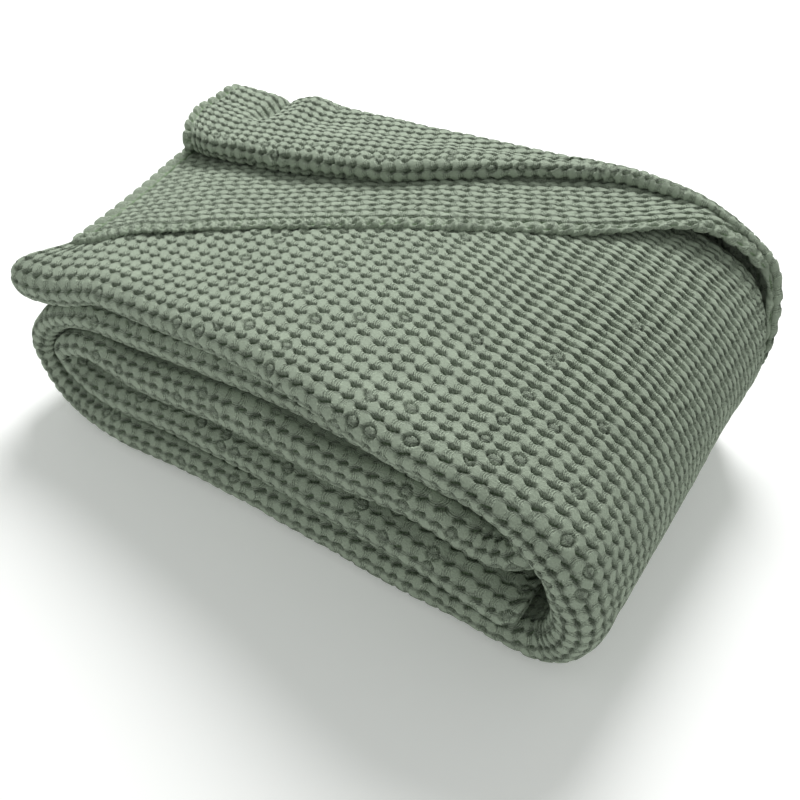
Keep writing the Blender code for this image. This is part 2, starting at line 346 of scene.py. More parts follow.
def slopes(points, closed):
    """Unit vectors square to a grid of points, on the side that faces out of the cloth."""
    down = np.gradient(points, axis=0)
    if closed:
        ring = np.concatenate((points[:, -2:-1], points, points[:, 1:2]), axis=1)
        across = (ring[:, 2:] - ring[:, :-2]) / 2
    else:
        across = np.gradient(points, axis=1)
    square = np.cross(across, down)
    return square / np.maximum(np.linalg.norm(square, axis=2), 1e-12)[:, :, None]


def corners_of(grid):
    """The four corners of each face of a grid, in order."""
    return np.stack((grid[:-1, :-1], grid[:-1, 1:], grid[1:, 1:], grid[1:, :-1]), axis=2)


def cloth(name, row, points, outward, height, depth, threads, slack_and_shade, closed=False, hidden=None):
    """A sheet of cloth on a grid of points, raised along outward by its woven height.

    height is 0 to 1 and depth its full range in cells, threads the (u, v) of each point,
    the slack mask how far its yarns hang loose in the pockets, which also sets how strongly
    painted shadow crescents and painted groove shade are put on the cloth, and hidden marks
    points whose faces nobody needs. closed joins the last column to the first.
    """
    lift = (height - 1) * depth + PROUD
    x, y, z = points[:, :, 0], points[:, :, 1], points[:, :, 2]
    waves = soft_noise((x + z) / WAVE_LENGTH, (y + WAVE_UPRIGHT * z) / WAVE_LENGTH, 1)
    lift = lift + WAVE * waves
    raised = points + outward * lift[:, :, None]
    raised = (raised - np.array((*MIDDLE, 0.0))) * CELL
    raised[:, :, 2] = np.maximum(raised[:, :, 2], 0.0)
    normals = slopes(raised, closed)
    used = ~row["margin"]
    raised, normals, height = raised[used], normals[used], height[used]
    slack_and_shade = (slack_and_shade + 0 * lift)[used]
    threads, base = threads[used], points[used] * CELL
    rows, columns = height.shape
    number = np.arange(rows * columns).reshape(rows, columns)
    last = number.copy()
    if closed:
        last[:, -1] = number[:, 0]
    quads, corners = corners_of(last), corners_of(number)
    shown = np.ones(quads.shape[:2], dtype=bool)
    if hidden is not None:
        shown = ~corners_of(hidden[used]).all(axis=2)
    quads, corners = quads[shown], corners[shown]
    kept = np.unique(quads)
    renumber = np.zeros(rows * columns, dtype=int)
    renumber[kept] = np.arange(len(kept))
    mesh = bpy.data.meshes.new(name)
    mesh.vertices.add(len(kept))
    mesh.vertices.foreach_set("co", raised.reshape(-1, 3)[kept].ravel())
    mesh.loops.add(quads.size)
    mesh.loops.foreach_set("vertex_index", renumber[quads].ravel())
    mesh.polygons.add(len(quads))
    mesh.polygons.foreach_set("loop_start", np.arange(len(quads)) * 4)
    mesh.polygons.foreach_set("use_smooth", np.ones(len(quads), dtype=bool))
    layer = mesh.uv_layers.new(name="threads")
    layer.data.foreach_set("uv", threads.reshape(-1, 2)[corners.ravel()].ravel())
    for kind, values in (("woven_height", height), ("slack_and_shade", slack_and_shade)):
        layer = mesh.attributes.new(kind, "FLOAT", "POINT")
        layer.data.foreach_set("value", values.reshape(-1)[kept])
    mesh.update()
    mesh.normals_split_custom_set_from_vertices(normals.reshape(-1, 3)[kept])
    piece = added(name, mesh)
    piece.data.materials.append(COTTON)
    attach(piece, "root")
    return piece


def lengths_of(line_y, line_h):
    step = np.hypot(np.diff(line_y, axis=1), np.diff(line_h, axis=1))
    return np.concatenate((np.zeros((len(step), 1)), np.cumsum(step, axis=1)), axis=1)


def spread(parts, counts):
    """Distances along each station's line: counts[i] even steps from parts[i] to parts[i + 1]."""
    wide = [
        low[:, None] + (high - low)[:, None] * (np.arange(count) / count)
        for low, high, count in zip(parts, parts[1:], counts)
    ]
    return np.concatenate([*wide, parts[-1][:, None]], axis=1)


def resample(line_y, line_h, start, wanted):
    """Points at the wanted distances from start along each station's line."""
    reach = lengths_of(line_y, line_h)
    y, h = np.empty_like(wanted), np.empty_like(wanted)
    for i in range(len(wanted)):
        y[i] = np.interp(wanted[i], reach[i] - start[i], line_y[i])
        h[i] = np.interp(wanted[i], reach[i] - start[i], line_h[i])
    return y, h


def outward_of(row, y, h):
    """Unit vectors out of the cloth, square to the line across it at each station."""
    dy, dh = np.gradient(y, axis=1), np.gradient(h, axis=1)
    size = np.maximum(np.hypot(dy, dh), 1e-9)
    out_y, out_h = -dh / size, dy / size
    across = np.stack(
        (out_h * np.sin(row["turn"])[:, None], out_y, -out_h * np.cos(row["turn"])[:, None]),
        axis=2,
    )
    side = row.get("side", 1)
    ahead = np.stack((np.cos(row["turn"]), 0 * row["turn"], np.sin(row["turn"])), axis=1) * side
    tip = np.sin(row["cap"])[:, None, None]
    return across * np.cos(row["cap"])[:, None, None] + ahead[:, None, :] * tip


def arc(middle_y, middle_h, reach_y, reach_h, start, stop, steps):
    """An elliptical arc at each station from the angle start to the angle stop, in degrees."""
    angles = np.radians(np.linspace(start, stop, steps))
    return (
        middle_y[:, None] + reach_y[:, None] * np.cos(angles),
        middle_h[:, None] + reach_h[:, None] * np.sin(angles),
    )


def joined(*parts):
    """Arcs and single points (pairs of columns) put together into one line a station."""
    parts = [(y[:, None], h[:, None]) if y.ndim == 1 else (y, h) for y, h in parts]
    return tuple(np.concatenate([part[i] for part in parts], axis=1) for i in (0, 1))


def window(value, low, high, soft):
    """1 from low to high and 0 beyond them, over a distance of soft."""
    return ease(low - soft, low, value) * (1 - ease(high, high + soft, value))


# -------- the strip's own skin

FRONT_OVER = 1.9  # depth of the front fold's rounding above its middle
FRONT_OVER_THIN = 1.9  # or this many half thicknesses if less
FRONT_UNDER = 1.0
FRONT_STEPS, BACK_STEPS = 13, 9  # points round each half of the front and the back fold
LEAST_ROUNDED = 0.3  # share of a fold's rounding that is left at the strip's tip
BACK_DEPTH = 0.9
TUCKED = 0.9  # how far its back is pulled in where the pleat goes round it
UNDER_FLAP = 1.8  # how far the strip's upper cloth goes on under the flap
SHORT_BEHIND = 2.3  # how much sooner it ends behind the flap's corner
BLUNT = 0.4  # 1 rounds a strip's end evenly, less makes it blunter
DRAWN_IN_AT_END = 0.75  # how far the folds draw in at the end, in half thicknesses
CAP_BEHIND = 0.12  # share of the rounded end left behind the flap's corner
COVERED = (-3.0, 1.5)  # where the flap covers the strip, counted from its hem
HIDING, LYING = 0.6, 0.9  # shares of its height at which the flap hides the strip, lies on it
SHOWN_LEAST = 4.0  # how much of the strip shows at least
SHOWN_IN_AIR = 2.0  # and how much more for each cell of air


def skin_line(row):
    """The strip's outline: from the back, under it, round the front fold and over it."""
    half = row["thick"] / 2
    pinch = np.cos(row["cap"])
    low = half * pinch ** BLUNT
    draw_in = DRAWN_IN_AT_END * half * (1 - pinch)
    rounding = LEAST_ROUNDED + (1 - LEAST_ROUNDED) * pinch
    front = row["front"] + draw_in
    back = row["back"] - TUCKED * row["over"] - draw_in
    over = np.minimum(FRONT_OVER, FRONT_OVER_THIN * half) * rounding
    under = FRONT_UNDER * rounding
    behind = BACK_DEPTH * half * rounding
    line = joined(
        arc(back - behind, half, behind, low, 0, -90, BACK_STEPS),
        arc(front + under, half, under, low, 270, 180, FRONT_STEPS),
        arc(front + over, half, over, low, 180, 90, FRONT_STEPS),
        arc(back - behind, half, behind, low, 90, 0, BACK_STEPS),
    )
    # lengths across the strip are counted from where the second arc ends
    start = lengths_of(*line)[:, BACK_STEPS + FRONT_STEPS - 1]
    return line, start


ROWS = ((-30.0, -4.0, 3.0, 9.0, 15.0, 45.0), (1.0, 0.92, 0.86, 1.0, 1.2, 1.25))
CLOSER_RIGHT = (-6.0, 9.0)
UPRIGHT = (0.15, 0.75)  # the cloth is pulled into ropes as it turns upright
ROPED = 0.85  # how far the cloth is pulled into ropes at the right end
ROPED_IN_FRONT = 0.15  # share of that at the front fold
ROPED_FROM = (3.0, 13.0)  # where it grows to the full, from the front fold
MORE_RIGHT = 0.12  # how much closer together the rows lie at the right end
HIDDEN_RUN = 17.0  # length between the fine front and the back fold
SHORT_FROM = (-23.5, -28.4)  # the x over which SHORT_BEHIND sets in
DIP_U, DIP_V = 0.24, 0.35  # how far the yarns dip between the pads
DIP_ROPED = (-0.12, 0.4)  # what ropes add to each
DIP_AT_FOLD = 0.06  # and what the front fold adds to the first
POPPED_AT_FOLD = 0.08  # how many more pockets have popped round the front fold
FOLD_MIDDLE, FOLD_SOFT = 0.3, 2.6  # where the front fold stretches the cloth
FOLD_FLATTER = 0.12  # share of the relief that goes there
FOLD_TIGHTER = 0.35  # share of the slack that goes there
PLAIN = 0.85  # height of the plain cloth where no cells are modelled
PLAIN_SOFT = 0.5  # length over which it begins
FINE_ROWS = 751  # places at which the rows are counted


def rows_across(wide, right):
    """Rows counted across the strip: they lie closer together towards the back and the right."""
    fine = np.linspace(ROWS[0][0], ROWS[0][-1], FINE_ROWS)
    count = np.cumsum(np.interp(fine, *ROWS)) * (fine[1] - fine[0]) / CROSS
    count -= np.interp(0.0, fine, count)
    return np.interp(wide, fine, count) * (1 + MORE_RIGHT * right)


def skin(name, row, over_fine, popped=0.05):
    """One stretch of the strip's outer cloth, a closed tube with its cells modelled."""
    line, start = skin_line(row)
    total = lengths_of(*line)[:, -1]
    zero = 0 * start
    parts = (-start, BACK_FINE - start, zero - FOLD_FINE[0], zero + FOLD_FINE[1],
             total - start - BACK_FINE, total - start)
    over_step = {"fine": ACROSS, "medium": MEDIUM, "coarse": COARSE}[over_fine]
    behind = round(BACK_FINE / (UNSEEN if over_fine == "fine" else MEDIUM))
    counts = (behind, round(HIDDEN_RUN / COARSE), round(sum(FOLD_FINE) / ACROSS),
              round(HIDDEN_RUN / over_step), behind)
    wide = spread(parts, counts)
    y, h = resample(*line, start, wide)
    # the rounded end lies in front of the flap's corner, and hardly shows behind it
    reach = row["reach"][:, None] * row.get("side", 1)
    covered = row["over"][:, None] * ease(*COVERED, y - row["hem"][:, None])
    reach = reach * (1 - (1 - CAP_BEHIND) * covered)
    near_end = (ease(*SHORT_FROM, row["x"]) * (row["over"] > LYING))[:, None]
    reach = reach - SHORT_BEHIND * near_end * covered
    points = place(row, y, h, reach)
    outward = outward_of(row, y, h)
    u = row["thread"][:, None] + 0 * wide
    knots = STRIP_CURVE["knots"]
    right = (ease(*CLOSER_RIGHT, row["x"]) * (row["length"] > knots[RIGHT_TURN]))[:, None]
    v = rows_across(wide, right)
    upright = np.abs(np.sin(row["turn"])) * (row["length"] > knots[BOTTOM])
    upright = np.maximum(upright, np.sin(row["cap"]))[:, None]
    rope = ROPED * np.maximum(ease(*UPRIGHT, upright), right)
    rope = rope * (ROPED_IN_FRONT + (1 - ROPED_IN_FRONT) * ease(*ROPED_FROM, wide))
    at_fold = np.exp(-(((wide - FOLD_MIDDLE) / FOLD_SOFT) ** 2))
    dip_u = DIP_U + DIP_ROPED[0] * rope + DIP_AT_FOLD * at_fold
    dip_v = DIP_V + DIP_ROPED[1] * rope
    height, u, v = waffle(u, v, dip_u, dip_v, rope, popped + POPPED_AT_FOLD * at_fold)
    plain = window(wide, parts[1][:, None], parts[2][:, None], PLAIN_SOFT)
    if over_fine == "coarse":
        over_top = window(wide, parts[3][:, None], parts[4][:, None], PLAIN_SOFT)
        plain = np.maximum(plain, over_top)
    height = height + (PLAIN - height) * plain
    depth = RELIEF * (1 - FOLD_FLATTER * at_fold)
    hidden = None
    if over_fine == "fine":
        under_flap = np.maximum(row["hem"], row["front"] + SHOWN_LEAST)
        under_flap = under_flap + UNDER_FLAP + SHOWN_IN_AIR * row["air"]
        covered_here = (row["over"] > HIDING) & (row["cap"] == 0)
        hidden = (wide > 1) & (y > under_flap[:, None]) & covered_here[:, None]
    threads = np.stack((u, v), axis=2)
    # how loose the yarns hang: where loose the colour gets painted shadow crescents, where tight
    # painted groove shade
    slack_and_shade = (1 - rope) * (1 - FOLD_TIGHTER * at_fold)
    return cloth(
        name, row, points, outward, height, depth, threads, slack_and_shade, closed=True, hidden=hidden
    )


# -------- the flap and the pleat


LIFTED = 0.42  # how much further the flap stands off the strip at the right end
LIFTED_FROM = (4.0, 7.5)
LIFTED_TO = (9.0, 11.8)
LIFTED_LESS = 0.8  # share of that lost again further on
SUNK = 0.5  # how deep the flap and the pleat end in the strip
NARROWED = 0.35  # how much narrower the pleat's roll is at the right end
HEM_BAND = 1.45  # width of the hem, from its edge to the stitched line
HEM_UNEVEN = 0.35  # how far its pads stand off their places
HEM_LUMPS = 0.25  # and how much they differ in height
HEM_WOVEN = 0.4  # share of the hem that is weave without its own pads
HEM_STITCHED = 0.5  # height of the cloth along the stitched line
FLAP_RELIEF = (0.17, 0.20)  # depth of its cells at the hem and further in
HEM_DEEPER = 0.09
FLAP_CELL = (0.97, 0.6)  # length of the flap's cells along its rows and across them
FLAP_DIPS = (0.35, 0.45)  # how far its yarns dip between the pads
FLAP_ROPED = 0.25
# how loose its yarns hang, which sets how strongly its painted shadow crescents show
FLAP_SLACK_SHADE = 0.6
FLAP_CORNER = (-26.5, -21.0)  # where its front corner is pulled in
DRAWN_IN_TO = (-1.0, 9.0)  # the y over which it comes back into line
FLAP_ROUNDING = (4, 0.35)  # stations round the flap's end, and its depth
FLAP_THINNER = 1.6  # how much thinner its tip is, in half thicknesses
FLAP_UNDER_PLEAT = 1.8  # how far the flap goes on under the pleat
FLAP_LEAST = (2.5, 0.5)  # its least width, on the strip and at the turn
FLAP_TO_TURN = 0.4  # it ends this far in front of the turn
HEM_UNDERSIDE = 1.6  # width of the hem's lower side
HEM_FINE = 0.5  # how far the finer mesh reaches from the hem's edge
HEM_GROOVE, HEM_STITCH = (0.0, 0.17), (0.0, 0.25)  # grooves between its pads, and its stitches
HEM_CURVE = (0.25, 1.5)  # how far the grooves curve, and over what width
HEM_ENDS = (-0.3, 1.3)  # where they do, as shares of that width
SIDE_GROOVE, SIDE_STITCH = (0.03, 0.26), (0.05, 0.32)  # the same across the cloth's end
SIDE_BEHIND = (0.03, 0.3)


def flap_heights(row):
    """Height of the flap's upper side over the strip's inner side."""
    over = row["over"]
    lifted = LIFTED * ease(*LIFTED_FROM, row["x"])
    lifted = lifted * (1 - LIFTED_LESS * ease(*LIFTED_TO, row["x"]))
    rise = FLAP_RISE + row["air"] + lifted
    return row["thick"] + rise * over - SUNK * (1 - over)


def side_hem(row, height, threads, slack_and_shade, across, band):
    """The weave with a hem across the cloth's end: one row of wide pads and a stitched line."""
    from_end = row["thread"].max() - row["thread"][:, None] + 0 * across
    pads = across / HEM_PAD
    groove = np.abs(pads - np.rint(pads))
    past_line = from_end - band
    raised = np.minimum(ease(*SIDE_GROOVE, groove), ease(*SIDE_STITCH, np.abs(past_line)))
    in_hem = from_end < band
    height = np.where(in_hem, raised, height * ease(*SIDE_BEHIND, past_line))
    u = np.where(in_hem, pads, threads[:, :, 0])
    v = np.where(in_hem, 0.0, threads[:, :, 1])
    return height, np.stack((u, v), axis=2), np.where(in_hem, 0.0, slack_and_shade + 0 * u)


def flap():
    """The part of the cloth that lies over the strip, from its free hem to under the pleat."""
    row = with_cap(along(FLAP_START, OUTER_END, ALONG, PLEAT_SHORT), *FLAP_ROUNDING, 1)
    top = flap_heights(row) - HEM_HALF * (1 - np.cos(row["cap"])) * FLAP_THINNER
    turned = row["back"] - SUNK * (1 - row["over"])
    s = row["thread"]
    slow, quick = (soft_noise(s / length, 0 * s, sheet) for length, sheet in HEM_WAVES)
    sway = HEM_SWAY * slow + QUICK_SHARE * HEM_SWAY * quick
    hem = np.minimum(row["hem"] + sway, turned - HEM_BEFORE_TURN)
    pleat = np.maximum(row["pleat"] + FLAP_UNDER_PLEAT, hem + FLAP_LEAST[0])
    pleat = np.maximum(np.minimum(pleat, turned - FLAP_TO_TURN), hem + FLAP_LEAST[1])
    edge = hem + HEM_HALF
    line = joined(
        (np.minimum(hem + HEM_UNDERSIDE, pleat), top - 2 * HEM_HALF),
        arc(edge, top - HEM_HALF, 0 * hem + HEM_HALF, 0 * hem + HEM_HALF, 270, 90, HEM_STEPS),
        (pleat, top),
    )
    # widths are counted from the hem's edge, in the middle of the arc
    start = lengths_of(*line)[:, (HEM_STEPS + 1) // 2]
    total = lengths_of(*line)[:, -1] - start
    zero = 0 * start
    parts = (-start, zero - HEM_FINE, zero + HEM_FINE, total)
    wide = spread(parts, FLAP_COUNTS)
    y, h = resample(*line, start, wide)
    x = row["x"] - row["reach"]
    near_end = 1 - ease(*FLAP_CORNER, x)[:, None]
    drawn_in = HEM_DRAWN_IN * near_end * (1 - ease(*DRAWN_IN_TO, y))
    points = place(row, y, h, row["reach"][:, None] - drawn_in)
    outward = outward_of(row, y, h)
    s = row["thread"][:, None]
    u = (s * math.cos(HEM_ANGLE) - y * math.sin(HEM_ANGLE)) / FLAP_CELL[0]
    v = wide * math.cos(HEM_ANGLE) / FLAP_CELL[1]
    hem_u, hem_v = u, v
    u = u + 0.5 * np.abs((v % 2) - 1)
    height, u, v = waffle(u, v, *FLAP_DIPS, FLAP_ROPED, 0.0)
    # the hem is one row of long pads with a stitched line behind it
    in_hem = hem_v < HEM_BAND
    uneven = soft_noise(s / 1.7 + 0 * wide, 0.4 * wide, 1)
    bow, bow_width = HEM_CURVE
    curved = hem_u + bow * np.sin(math.pi * np.clip(hem_v / bow_width, *HEM_ENDS))
    curved = curved + HEM_UNEVEN * uneven
    groove = np.abs(curved - np.rint(curved))
    past_line = hem_v - HEM_BAND
    hem_pads = np.minimum(ease(*HEM_GROOVE, groove), ease(*HEM_STITCH, np.abs(past_line)))
    hem_pads = (HEM_WOVEN + (1 - HEM_WOVEN) * hem_pads) * height
    hem_pads = hem_pads * (1 + HEM_LUMPS * soft_noise(s / 1.1 + 0 * wide, 0.5 * wide, 5))
    behind_hem = np.minimum(1, HEM_STITCHED + ease(*HEM_STITCH, past_line))
    height = np.where(in_hem, hem_pads, height * behind_hem)
    at_hem, within = FLAP_RELIEF
    depth = at_hem + (within - at_hem) * ease(0.0, 4.0, wide) + HEM_DEEPER * in_hem
    u, v = np.where(in_hem, curved, u), np.where(in_hem, 0.0, v)
    threads = np.stack((u, v), axis=2)
    slack_and_shade = FLAP_SLACK_SHADE * ~in_hem
    ended = side_hem(row, height, threads, slack_and_shade, wide, FLAP_BAND)
    height, slack_and_shade = np.where(in_hem, height, ended[0]), np.where(in_hem, slack_and_shade, ended[2])
    threads = np.where(in_hem[:, :, None], threads, ended[1])
    return cloth("flap", row, points, outward, height, depth, threads, slack_and_shade)


NOTCH = -22.2  # x of the pinch between the pleat's end lobe and the rest
NOTCH_WIDTH, NOTCH_DEPTH = 0.5, 0.9
LOBE_RISE = 0.55
LOBE_EDGE = (-3.8, 0.8)  # where the lobe ends, counted from the notch
HUMP = (2.6, 1.3, 0.56)  # the fullness beside the notch: how far off, how wide, how high
GATHERED = 0.4  # how much closer the pleat's pads lie towards the right
LOBE_SET_BACK = 1.3  # how far the lobe's front corner is pulled in from the end
PLEAT_RISE = 0.85  # height of the pleat over the strip, without its roll
PLEAT_CELL = 0.85  # length of its cells
PLEAT_DIPS = (0.25, 0.35)
PLEAT_ROPED = 0.1
PLEAT_POPPED = (0.03, 0.22)  # share of its pockets that have popped, and more on the roll
PLEAT_SLACK_SHADE = (0.3, 0.5)  # how loose its yarns hang, which sets its painted shadow crescents, and more on the roll
PLEAT_CORNER = (-26.9, -22.5)  # where the lobe's front corner is pulled in
SET_BACK_TO = (-0.5, 4.0)  # where it comes back into line, from the pleat's front
PLEAT_ROUNDING = (8, 0.6)  # stations round the pleat's end, and its depth
PLEAT_ALONG = 1.1  # spacing of its mesh, as a multiple of the strip's
PLEAT_COUNTS = (4, 30, 98, 40, 4)  # steps of its mesh across
PLEAT_FINE = (-1.2, 2.2)  # its roll, where the mesh is finer
PLEAT_CLEAR = 0.02  # how far it lies off the flap
ROLL_BEHIND = (0.6, 0.25)  # share of the roll's height left behind it, and what the lobe adds
NARROWED_WITHIN = 3.0  # length over which it narrows
PLEAT_LEAST = 0.9  # its least width
PLEAT_END = 0.4  # how far its front draws back at the tip of the rounded end
ROLL_DEEP = (0.95, 0.05, 0.35)  # depth of the roll: by its height, besides, at most by its width
BACK_DEEP = 0.45  # depth of the back, by its height and at most by its width
SLOPE_AT = (0.35, 0.7)  # where the cloth sinks between the roll and the back
BACK_UNDER = (3.0, 0.25)  # how far the cloth goes on inside, and how high it ends
ROLL_STEPS, PLEAT_BACK_STEPS = 21, 17  # points round the roll and round the back
FULL_RELIEF = (1.0, 4.0)  # width of the pleat over which its cells grow deeper
ON_ROLL = (-1.5, 1.6, 0.8)  # where its deeper cells begin and end, and how softly
LOBE_CLIMBS = 5.0  # how far past the notch the steep sides take up cloth
PLEAT_RELIEF = (0.17, 0.09, 0.16)  # depth of its cells, and more where wide and rolled


def pleat():
    """The soft roll of the pleat, its upper side and the back that goes round the strip."""
    row = along(FLAP_START, OUTER_END, PLEAT_ALONG * ALONG, PLEAT_SHORT)
    row = with_cap(row, *PLEAT_ROUNDING, 1)
    over, thick, air, roll = row["over"], row["thick"], row["air"], row["roll"]
    x = row["x"] - row["reach"]
    in_lobe = 1 - ease(NOTCH + LOBE_EDGE[0], NOTCH + LOBE_EDGE[1], x)
    notch = NOTCH_DEPTH * np.exp(-(((x - NOTCH) / NOTCH_WIDTH) ** 2))
    hump_off, hump_width, hump_rise = HUMP
    hump = hump_rise * np.exp(-(((x - NOTCH - hump_off) / hump_width) ** 2))
    roll = roll + LOBE_RISE * in_lobe
    low = flap_heights(row) + PLEAT_CLEAR
    pinch = np.cos(row["cap"])
    crest = thick + (PLEAT_RISE + air + roll) * over - SUNK * (1 - over)
    crest = low + (crest - low) * pinch
    left_behind = ROLL_BEHIND[0] + ROLL_BEHIND[1] * in_lobe
    behind = PLEAT_RISE + air + roll * left_behind - notch + hump
    behind = thick + behind * over - SUNK * (1 - over)
    behind = low + (behind - low) * pinch
    back = row["back"] - SUNK * (1 - over)
    narrowed = NARROWED * ease(LIFTED_FROM[1], LIFTED_FROM[1] + NARROWED_WITHIN, row["x"])
    front = np.minimum(row["pleat"], back - PLEAT_LEAST) + narrowed + PLEAT_END * (1 - pinch)
    half = (crest - low) / 2
    width = back - front
    by_height, besides, by_width = ROLL_DEEP
    deep = np.minimum(by_height * half + besides, by_width * width)
    back_deep = np.minimum(BACK_DEEP * behind, BACK_DEEP * width)
    between = width - deep - back_deep
    back_reach, back_lies = BACK_UNDER
    line = joined(
        (np.minimum(front + back_reach, back - FLAP_TO_TURN), low),
        arc(front + deep, low + half, deep, half, 270, 90, ROLL_STEPS),
        (front + deep + SLOPE_AT[0] * between, crest - PLEAT_CLEAR),
        (front + deep + SLOPE_AT[1] * between, behind),
        arc(back - back_deep, behind / 2, back_deep, behind / 2 + PLEAT_CLEAR,
            90, -90, PLEAT_BACK_STEPS),
        (back - back_deep - back_reach, 0 * front + back_lies),
    )
    # widths are counted from the roll's front; the seam is where the back's arc begins
    start = lengths_of(*line)[:, (ROLL_STEPS + 1) // 2]
    total = lengths_of(*line)[:, -1] - start
    zero = 0 * start
    seam = lengths_of(*line)[:, ROLL_STEPS + 3] - start
    roll_under, roll_over = PLEAT_FINE
    parts = (-start, zero + roll_under, zero + roll_over, seam, total - back_reach, total)
    wide = spread(parts, PLEAT_COUNTS)
    y, h = resample(*line, start, wide)
    near_end = 1 - ease(*PLEAT_CORNER, x)[:, None]
    set_back = LOBE_SET_BACK * near_end * (1 - ease(*SET_BACK_TO, y - row["pleat"][:, None]))
    points = place(row, y, h, row["reach"][:, None] - set_back)
    outward = outward_of(row, y, h)
    s = row["thread"][:, None]
    u = (s * math.cos(PLEAT_ANGLE) - y * math.sin(PLEAT_ANGLE)) / PLEAT_CELL
    u = u + GATHERED * np.minimum(s - s[np.argmin(np.abs(row["x"]))], 0.0)
    # the steep sides of the lobe take up more cloth
    climbed = np.linalg.norm(np.diff(points, axis=0), axis=2) - np.diff(s, axis=0)
    climbed = np.maximum(climbed, 0.0) * (x[1:, None] < NOTCH + LOBE_CLIMBS)
    u[1:] += np.cumsum(climbed, axis=0) / PLEAT_CELL
    v = wide * math.cos(PLEAT_ANGLE) / CROSS
    on_roll = window(wide, *ON_ROLL)
    popped = PLEAT_POPPED[0] + PLEAT_POPPED[1] * on_roll
    height, u, v = waffle(u, v, *PLEAT_DIPS, PLEAT_ROPED, popped)
    slim = ease(*FULL_RELIEF, width)[:, None]
    plain, where_wide, on_top = PLEAT_RELIEF
    depth = plain + (where_wide + on_top * on_roll) * slim
    threads = np.stack((u, v), axis=2)
    slack_and_shade = PLEAT_SLACK_SHADE[0] + PLEAT_SLACK_SHADE[1] * on_roll
    height, threads, slack_and_shade = side_hem(row, height, threads, slack_and_shade, wide, PLEAT_BAND)
    return cloth("pleat", row, points, outward, height, depth, threads, slack_and_shade)


# -------- cotton


def set_inputs(shader, **values):
    for name, value in values.items():
        shader.inputs[name.replace("_", " ")].default_value = value


def node(tree, kind, **inputs):
    """A new node with its inputs set, on the next place of a grid."""
    made = tree.nodes.new(kind)
    down, across = divmod(len(tree.nodes), 12)
    made.location = (180 * across - 2400, 1200 - 220 * down)
    set_inputs(made, **inputs)
    return made


